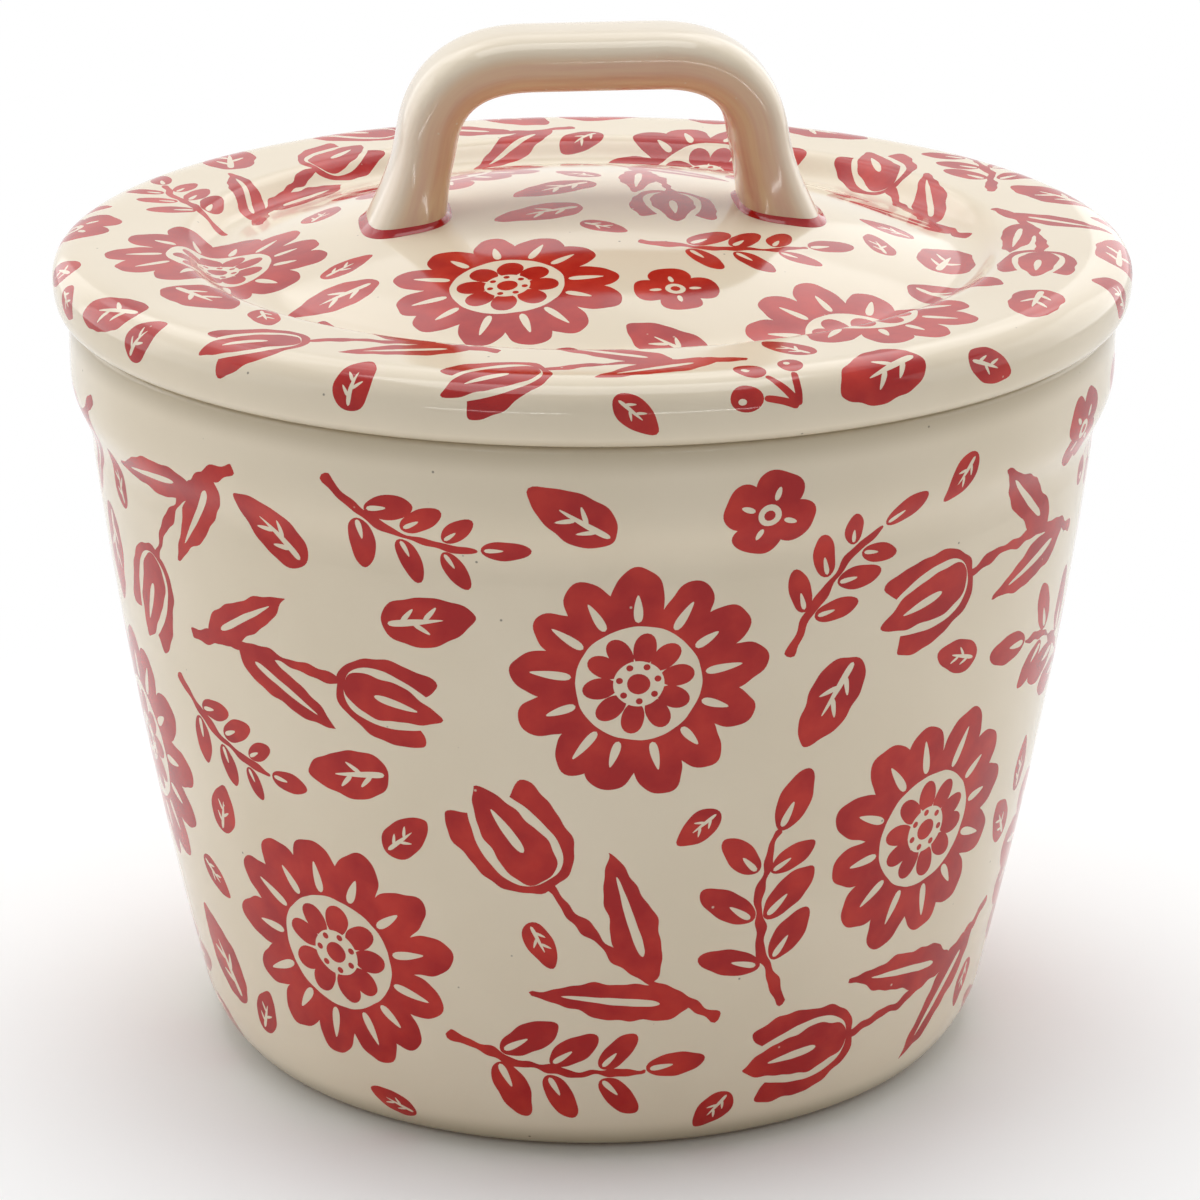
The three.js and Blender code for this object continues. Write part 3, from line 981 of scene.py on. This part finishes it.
def dome_height(radius):
    """Height of the lid's dome at a radius: its apex less radius squared over twice the dome's curve."""
    s = in_mm(bpy.context.scene.canister_lid)
    seat = MM * bpy.context.scene.canister_jar.height
    return seat + s["flange_rise"] + s["dome_rise"] - np.asarray(radius) ** 2 / (2 * s["dome_curve"])


def lid_profile():
    """Turned profile of the lid from its apex, over the flange and the seat, to the middle of its underside.

    A parabola makes the dome, Bezier curves the valley, crest and flange, and lines the locating ring.
    Returns the table and the lengths where the seat begins and ends.
    """
    s = in_mm(bpy.context.scene.canister_lid)
    jar = in_mm(bpy.context.scene.canister_jar)
    seat = jar["height"]
    top = seat + s["flange_rise"]
    valley = top - s["valley_drop"]
    ring = jar["collar_radius"] - jar["rim_width"] - s["ring_play"]
    ring_inside = ring - s["ring_wall"]
    ring_foot = seat - s["ring_depth"]
    seat_edge = (jar["collar_radius"] - s["seat_overlap"], seat)
    dome_radius = np.linspace(0, s["dome_radius"], 40)
    dome = np.column_stack((dome_radius, dome_height(dome_radius)))
    slope = s["dome_radius"] / s["dome_curve"]
    turn = s["dome_radius"] + (dome[-1, 1] - valley) / slope
    ceiling = valley - s["thickness"]
    curves = [
        dome,
        bezier([dome[-1], (turn, valley), (s["valley_radius"], valley)]),
        bezier(
            [
                (s["valley_radius"], valley),
                (s["crest_radius"], valley),
                (s["crest_radius"], top),
                (s["crest_radius"] + s["crest_round"], top),
            ]
        ),
        bezier(
            [
                (s["radius"] - s["flange_shoulder"], top),
                (s["radius"], top),
                (s["radius"], seat + s["widest_rise"]),
            ]
        ),
        bezier([(s["radius"], seat + s["widest_rise"]), (s["radius"], seat), seat_edge]),
        [(ring, seat)],
        bezier([(ring, ring_foot + RING_ROUND), (ring, ring_foot), (ring - RING_ROUND, ring_foot)], 8),
        bezier(
            [
                (ring_inside + RING_ROUND, ring_foot),
                (ring_inside, ring_foot),
                (ring_inside, ring_foot + RING_ROUND),
            ],
            8,
        ),
        [(ring_inside, ceiling), (turn, ceiling)],
        dome[::-1] - (0, s["thickness"]),
    ]
    table = profile_table([np.asarray(curve, float) for curve in curves])
    table[:, 3:] *= -1
    return table, length_at(table, seat_edge), length_at(table, (ring, seat))


def lid_surface():
    """Lid: printed top over dome, valley and flange, bare seat, glazed locating ring and underside."""
    table, seat, ring = lid_profile()
    sizes = in_mm(bpy.context.scene.canister_print)
    handle = in_mm(bpy.context.scene.canister_handle)
    foot_half = (FOOT_CLEAR[0] * handle["foot_thickness"], FOOT_CLEAR[1] * handle["foot_depth"])
    rng = np.random.default_rng(bpy.context.scene.canister_print.seed + 1)

    def free(x, y):
        """Print keeps off the lower edge and the handle's feet."""
        foot = np.hypot((np.abs(x) - handle["foot_reach"]) / foot_half[0], (y - seat) / foot_half[1]) < 1
        return (np.hypot(x, y - seat) < seat - LID_MARGIN) & ~foot

    def fitted(outline, spot):
        """Widened round the axis by length over radius there, because the flat patch opens the flange out."""
        spot = spot - (0, seat)
        run = max(np.hypot(*spot), 1e-6)
        outward = spot / run
        radius = np.interp(run, table[:, 0], table[:, 1])
        across = np.array((-outward[1], outward[0]))
        stretch = run / max(radius, 1e-6)
        return outline + (stretch - 1) * (outline @ across)[:, None] * across + spot + (0, seat)

    scatter = Scatter(2 * seat, 2 * seat, sizes["clearance"], False, free, fitted)
    for step, reach in enumerate(LID_HEAD_REACHES):
        turn = np.radians(360 // len(LID_HEAD_REACHES) * step + LID_HEAD_TURN)
        spot = reach * np.array((math.sin(turn), math.cos(turn))) + (0, seat)
        scatter.place(aster(LID_HEAD_SHARE * sizes["aster"], rng), rng.uniform(0, 6), spot, rng)
    scatter.fill(tulip, 0.9 * sizes["tulip"], 700, rng)
    scatter.fill(sprig, 0.95 * sizes["sprig"], 1200, rng)
    scatter.fill(sprig, 0.75 * sizes["sprig"], 700, rng)
    scatter.fill(leaf, sizes["leaf"], 1500, rng)
    scatter.fill(blossom, sizes["blossom"], 2500, rng)
    scatter.fill(berries, sizes["berries"], 2500, rng)
    scatter.fill(leaf, 0.55 * sizes["leaf"], 3000, rng)

    rows = even_rows(table, 0, seat, *LID_PRINT_ROWS)
    counts = np.minimum(COLUMNS, np.maximum(6, np.ceil(2 * np.pi * rows / LID_COLUMN_STEP))).astype(int)
    counts[-1] = COLUMNS
    rings = [run * disc(1.0, count) for run, count in zip(rows, counts)]
    edge_angle = np.linspace(-np.pi, np.pi, COLUMNS + 1)[:-1]
    edge = seat * np.column_stack((np.sin(edge_angle), -np.cos(edge_angle)))
    inner = np.concatenate([np.zeros((1, 2)), *rings[1:-1]])
    outlines = [outline - (0, seat) for outline in scatter.outlines]
    flat, triangles, ink = printed_patch(edge, inner, outlines, scatter.inks)
    run = np.minimum(np.hypot(flat[:, 0], flat[:, 1]), seat)
    run = np.where(run > seat - 0.02, seat, run)
    points, normals = turned_points(table, np.arctan2(flat[:, 0], -flat[:, 1]), run)
    shown = (points, normals, triangles, np.column_stack((ink, np.zeros(len(ink)))))
    bare = turned_grid(table, even_rows(table, seat, ring, *BARE_ROWS))
    under = turned_grid(table, even_rows(table, ring, table[-1, 0], *LID_UNDER_ROWS))
    return joined([shown, plain(bare, 1), plain(under)])


def strap_section(count):
    """Rounded strap section of unit width and depth: a superellipse between an ellipse and a rectangle."""
    power = 2 / SQUARENESS
    turn = np.linspace(0, 2 * np.pi, count + 1)
    return np.column_stack(
        [np.sign(wave) * np.abs(wave) ** power / 2 for wave in (np.cos(turn), np.sin(turn))]
    )


def handle_line():
    """Centre line of the handle's right half, from the middle of the bar to its foot on the dome.

    Two quadratic Bezier curves follow the straight bar: the corner, and the leg that turns out to its foot.
    Returns the centres, the directions of the section's thickness and the share of the foot's flare.
    """
    s = in_mm(bpy.context.scene.canister_handle)
    bar = float(dome_height(0)) + s["top"] - s["bar_thickness"] / 2
    corner = np.array((s["corner_reach"], bar))
    bend = np.array((s["leg_reach"], bar - s["leg_bend"]))
    foot = np.array((s["foot_reach"], float(dome_height(s["foot_reach"]))))
    out = (bend - corner) / np.linalg.norm(bend - corner)
    flat = np.column_stack((np.linspace(0, s["bar_half"], 9), np.full(9, bar)))
    turn = bezier([(s["bar_half"], bar), corner, bend], 30)
    leg = bezier([bend, bend + s["leg_straight"] * out, foot], 30)
    line = np.concatenate((flat, turn[1:], leg[1:]))
    along = np.gradient(line, axis=0)
    along /= np.linalg.norm(along, axis=1, keepdims=True)
    across = np.column_stack((-along[:, 1], along[:, 0]))
    lie = np.array((MM * bpy.context.scene.canister_lid.dome_curve, -s["foot_reach"]))
    share = np.clip((bend[1] - line[:, 1]) / (bend[1] - foot[1]), 0, 1)[:, None]
    across = (1 - share) * across + share * lie / np.linalg.norm(lie)
    across /= np.linalg.norm(across, axis=1, keepdims=True)
    flare = np.clip(1 - (line[:, 1] - foot[1]) / s["foot_flare"], 0, 1) ** 2
    return line, across, flare


def handle_half():
    """Right half of the handle: the section carried along the centre line, its last ring on the dome."""
    s = in_mm(bpy.context.scene.canister_handle)
    line, across, flare = handle_line()
    section = strap_section(STRAP_COLUMNS)
    thickness = s["bar_thickness"] + flare * (s["foot_thickness"] - s["bar_thickness"])
    depth = s["bar_depth"] + flare * (s["foot_depth"] - s["bar_depth"])
    wide = thickness[:, None] * section[:, 0]
    x = line[:, :1] + across[:, :1] * wide
    y = depth[:, None] * section[:, 1]
    z = line[:, 1:] + across[:, 1:] * wide
    z[-1] = dome_height(np.hypot(x[-1], y[-1]))
    return np.stack((x, y, z), -1)


def closed_grid(grid, side):
    """Surface of a grid whose last column repeats its first. The cross product of its steps gives normals."""
    along = np.gradient(grid, axis=0)
    round_steps = np.gradient(grid, axis=1)
    round_steps[:, 0] = round_steps[:, -1] = (grid[:, 1] - grid[:, -2]) / 2
    normals = side * np.cross(along, round_steps, axis=-1)
    normals /= np.linalg.norm(normals, axis=-1, keepdims=True) + 1e-12
    return grid.reshape(-1, 3), normals.reshape(-1, 3), grid_triangles(*grid.shape[:2])


def handle_surface():
    """Strap handle: its right half, closed under the foot, and the same mirrored."""
    right = handle_half()
    middle = right[-1, :-1].mean(axis=0)
    right = np.concatenate((right, [middle + share * (right[-1] - middle) for share in (0.5, 0.0)]))
    return joined([plain(closed_grid(np.concatenate((right[:0:-1] * (-1, 1, 1), right)), 1))])


def handle_shade_share(surface):
    """Share of painted shade and thin glaze at each point of the handle: it grows as the normal turns towards
    the finger gap, where shade falls.

    The cosine between the normal and the way to the gap's middle, both seen from the front, goes through a
    smooth step.
    """
    points, normals = surface[:2]
    way = np.column_stack((-points[:, 0], dome_height(0) + GAP_MIDDLE - points[:, 2]))
    way /= np.linalg.norm(way, axis=1, keepdims=True)
    share = np.clip((np.einsum("ij,ij->i", normals[:, ::2], way) - SHADE_START) / SHADE_SPAN, 0, 1)
    return share**2 * (3 - 2 * share)


def strap_places(surface):
    """Place of each handle point along the strap, across its thickness and across its depth, in metres.

    The nearest sample of the centre line gives the length along it, and the offset from that sample, measured
    along the section's direction, the place across.
    """
    points = surface[0]
    line, across, _ = handle_line()
    run = np.concatenate(([0], np.cumsum(np.linalg.norm(np.diff(line, axis=0), axis=1))))
    folded = np.column_stack((np.abs(points[:, 0]), points[:, 2]))
    near = np.argmin(np.linalg.norm(folded[:, None] - line, axis=2), axis=1)
    offset = np.einsum("ij,ij->i", folded - line[near], across[near])
    return np.column_stack((np.sign(points[:, 0]) * run[near], offset, points[:, 1])) / MM


def slip_surface(side):
    """Bead of slip in the crease round one foot.

    For each point of the foot's ring a Bezier curve runs from the leg above it, past the crease, to the dome
    outside it, and closes below the surface.
    """
    s = in_mm(bpy.context.scene.canister_handle)
    half = handle_half()
    foot = half[-1]
    step = np.roll(foot[:-1], -1, axis=0) - np.roll(foot[:-1], 1, axis=0)
    out = np.column_stack((step[:, 1], -step[:, 0], np.zeros(len(step))))
    out /= np.linalg.norm(out, axis=1, keepdims=True)
    out = np.concatenate((out, out[:1]))
    outer = foot + s["slip_width"] * out
    outer[:, 2] = dome_height(np.hypot(outer[:, 0], outer[:, 1])) + SLIP_LIFT
    top = half[-1 - SLIP_ROWS] - SLIP_SINK * out
    crease = (top + outer) / 2 + SLIP_DRAW * (foot - (top + outer) / 2)
    share = np.linspace(0, 1, 11)[:, None, None]
    face = (1 - share) ** 2 * top + 2 * share * (1 - share) * crease + share**2 * outer
    root = foot - SLIP_ROOT_IN * out - (0, 0, SLIP_ROOT_DOWN)
    grid = np.concatenate((face, outer[None] - (0, 0, SLIP_SKIRT), root[None], top[None]))
    return joined([plain(closed_grid(grid * (side, 1, 1), -side))])


# Operators


class CANISTER_OT_jar(bpy.types.Operator):
    """Make the printed jar"""

    bl_idname = "canister.jar"
    bl_label = "Jar"

    def execute(self, context):
        new_piece("jar_body", jar_surface(), [printed_glaze(), bare_clay()], "jar", "jar")
        return {"FINISHED"}


class CANISTER_OT_lid(bpy.types.Operator):
    """Make the printed lid"""

    bl_idname = "canister.lid"
    bl_label = "Lid"

    def execute(self, context):
        new_piece("lid_cover", lid_surface(), [printed_glaze(), bare_clay()], "lid", "lid")
        return {"FINISHED"}


class CANISTER_OT_handle(bpy.types.Operator):
    """Make the plain strap handle"""

    bl_idname = "canister.handle"
    bl_label = "Handle"

    def execute(self, context):
        finish = context.scene.canister_finishes
        name = "cream stoneware glaze with painted shade"
        shaded_glaze = (finish.handle_thin_shaded, finish.handle_pink_bounce)
        streak = (26.0, 1.3, 1.3)
        glaze = glaze_material(name, finish.handle_cream, *shaded_glaze, streak, strap=True)
        surface = handle_surface()
        # Painted shade and pink bounce, with some thin glaze, towards the finger gap, as the handle's corner
        # ink
        thin = handle_shade_share(surface)[surface[2]]
        places = strap_places(surface)
        new_piece("strap_handle", surface, [glaze], "lid", "handle", thin, places)
        return {"FINISHED"}


class CANISTER_OT_slip(bpy.types.Operator):
    """Make the beads of red slip round the handle's feet"""

    bl_idname = "canister.slip"
    bl_label = "Slip beads"

    def execute(self, context):
        slip = slip_material()
        for side, word in ((-1, "left"), (1, "right")):
            new_piece(
                f"slip_bead_{word}", slip_surface(side), [slip], "lid", f"handle_slip_{word}"
            )
        return {"FINISHED"}


class CANISTER_OT_stage(bpy.types.Operator):
    """Make the camera, the studio light and the pale table top"""

    bl_idname = "canister.stage"
    bl_label = "Stage"

    def execute(self, context):
        make_camera(context.scene)
        make_floor(context.scene)
        make_surround(context.scene)
        make_lamps(context.scene)
        context.scene.view_settings.view_transform = "Standard"
        return {"FINISHED"}


# Stage


def make_camera(scene):
    """Camera on a sphere about its aim: sine and cosine of azimuth and elevation times the distance."""
    stage = scene.canister_stage
    azimuth, elevation = stage.azimuth, stage.elevation
    right = Vector((math.cos(azimuth), math.sin(azimuth), 0))
    aim = stage.aim_side * right + Vector((0, 0, stage.aim_height))
    level = math.cos(elevation)
    back = Vector((math.sin(azimuth) * level, -math.cos(azimuth) * level, math.sin(elevation)))
    data = bpy.data.cameras.new("camera")
    data.lens = stage.lens
    data.sensor_width = 36.0
    camera = bpy.data.objects.new("camera", data)
    camera.location = aim + stage.distance * back
    camera.rotation_euler = back.to_track_quat("Z", "Y").to_euler()
    scene.collection.objects.link(camera)
    scene.camera = camera


def shown_rays(tree):
    """1 on camera, glossy and transmission rays, 0 on the rays that light the object."""
    path = add_node(tree, "ShaderNodeLightPath")
    seen = path.outputs["Is Camera Ray"]
    for name in ("Is Glossy Ray", "Is Transmission Ray"):
        either = add_node(tree, "ShaderNodeMath", {0: seen, 1: path.outputs[name]}, operation="MAXIMUM")
        seen = either.outputs[0]
    return seen


def make_floor(scene):
    """Round table top, a polar grid of points, that fades to the white surround away from the canister."""
    turn = np.linspace(0, 2 * np.pi, 97)
    radius = np.concatenate(([0], np.geomspace(0.05, FLOOR_RADIUS, 16)))
    across, back = np.outer(radius, np.cos(turn)), np.outer(radius, np.sin(turn))
    flat = np.stack((across, back, np.zeros_like(across)), -1).reshape(-1, 3)
    up = np.tile((0.0, 0.0, 1.0), (len(flat), 1))
    points, _, triangles, _ = joined([plain((flat * MM, up, grid_triangles(len(radius), len(turn))))])
    mesh = bpy.data.meshes.new("table_top")
    mesh.from_pydata((points / MM).tolist(), [], triangles.tolist())
    material, tree, output = new_material("pale table top")
    place = add_node(tree, "ShaderNodeTexCoord").outputs["Object"]
    far = add_node(tree, "ShaderNodeVectorMath", {0: place}, operation="LENGTH")
    near = add_node(
        tree, "ShaderNodeMapRange", {"Value": far.outputs["Value"], 1: FADE_END, 2: FADE_START}
    ).outputs[0]
    # The shadow's share is the square of the nearness
    shaded = add_node(tree, "ShaderNodeMath", {0: near, 1: near}, operation="MULTIPLY")
    fade = add_node(tree, "ShaderNodeMath", {0: 1.0, 1: shaded.outputs[0]}, operation="SUBTRACT")
    shown = add_node(
        tree, "ShaderNodeMath", {0: fade.outputs[0], 1: shown_rays(tree)}, operation="MULTIPLY"
    )
    matt = add_node(tree, "ShaderNodeBsdfDiffuse", {"Color": solid(scene.canister_stage.floor)})
    white = add_node(tree, "ShaderNodeEmission", {"Color": solid((1, 1, 1)), "Strength": 1.0})
    mixed = add_node(
        tree, "ShaderNodeMixShader", {0: shown.outputs[0], 1: matt.outputs[0], 2: white.outputs[0]}
    )
    tree.links.new(mixed.outputs[0], output.inputs["Surface"])
    mesh.materials.append(material)
    floor = bpy.data.objects.new("table_top", mesh)
    scene.collection.objects.link(floor)


def make_surround(scene):
    """White surround: full white where it is seen or mirrored, dimmer where it lights the object."""
    world = bpy.data.worlds.new("white surround")
    world.use_nodes = True
    tree = world.node_tree
    tree.nodes.clear()
    strength = add_node(
        tree,
        "ShaderNodeMapRange",
        {"Value": shown_rays(tree), 3: scene.canister_stage.ambient, 4: 1.0},
    )
    light = add_node(
        tree, "ShaderNodeBackground", {"Color": solid((1, 1, 1)), "Strength": strength.outputs[0]}
    )
    output = add_node(tree, "ShaderNodeOutputWorld")
    tree.links.new(light.outputs[0], output.inputs["Surface"])
    scene.world = world


def make_lamps(scene):
    """Soft boxes overhead, at the sides and behind, and two low strips in front that edge the lid's rim."""
    aim = Vector((0, 0, 0.08))
    for name, place, width, height, power in (
        ("overhead_box", (0.0, 0.08, 1.5), 1.0, 1.0, 11.0),
        ("overhead_back_box", (0.0, 0.55, 0.85), 0.9, 0.9, 2.0),
        ("left_box", (-0.85, 0.15, 0.25), 1.3, 0.8, 3.0),
        ("right_box", (0.85, 0.15, 0.25), 1.3, 0.8, 3.3),
        ("left_back_box", (-0.7, 0.65, 0.5), 1.2, 1.2, 3.4),
        ("right_back_box", (0.7, 0.65, 0.5), 1.2, 1.2, 3.2),
        ("left_strip", (-0.42, -0.9, 0.05), 0.5, 0.03, 0.5),
        ("right_strip", (0.26, -0.9, 0.05), 0.36, 0.03, 0.4),
    ):
        data = bpy.data.lights.new(name, "AREA")
        data.shape = "RECTANGLE"
        data.size = width
        data.size_y = height
        data.energy = power
        lamp = bpy.data.objects.new(name, data)
        lamp.location = place
        lamp.rotation_euler = (lamp.location - aim).to_track_quat("Z", "Y").to_euler()
        scene.collection.objects.link(lamp)


# Add-on


class CANISTER_PT_panel(bpy.types.Panel):
    """Sizes, finishes and buttons of the canister"""

    bl_idname = "CANISTER_PT_panel"
    bl_label = "Tea Canister"
    bl_space_type = "VIEW_3D"
    bl_region_type = "UI"
    bl_category = "Canister"

    def draw(self, context):
        for operator in OPERATORS:
            self.layout.operator(operator.bl_idname)
        for name, group in GROUPS.items():
            box = self.layout.box()
            box.label(text=group.__name__)
            for key in group.__annotations__:
                box.prop(getattr(context.scene, name), key)


GROUPS = {
    "canister_jar": JarSizes,
    "canister_lid": LidSizes,
    "canister_handle": HandleSizes,
    "canister_finishes": Finishes,
    "canister_print": PrintSizes,
    "canister_stage": StageSettings,
}
OPERATORS = (CANISTER_OT_stage, CANISTER_OT_jar, CANISTER_OT_lid, CANISTER_OT_handle, CANISTER_OT_slip)


def register():
    """Registers the classes and hangs the property groups on the scene."""
    for kind in (*GROUPS.values(), *OPERATORS, CANISTER_PT_panel):
        bpy.utils.register_class(kind)
    for name, group in GROUPS.items():
        setattr(bpy.types.Scene, name, bpy.props.PointerProperty(type=group))


def unregister():
    """Takes the property groups and the classes away again."""
    for name in GROUPS:
        delattr(bpy.types.Scene, name)
    for kind in reversed((*GROUPS.values(), *OPERATORS, CANISTER_PT_panel)):
        bpy.utils.unregister_class(kind)


def main():
    register()
    bpy.ops.canister.stage()
    bpy.ops.canister.jar()
    bpy.ops.canister.lid()
    bpy.ops.canister.handle()
    bpy.ops.canister.slip()


if __name__ == "__main__":
    main()
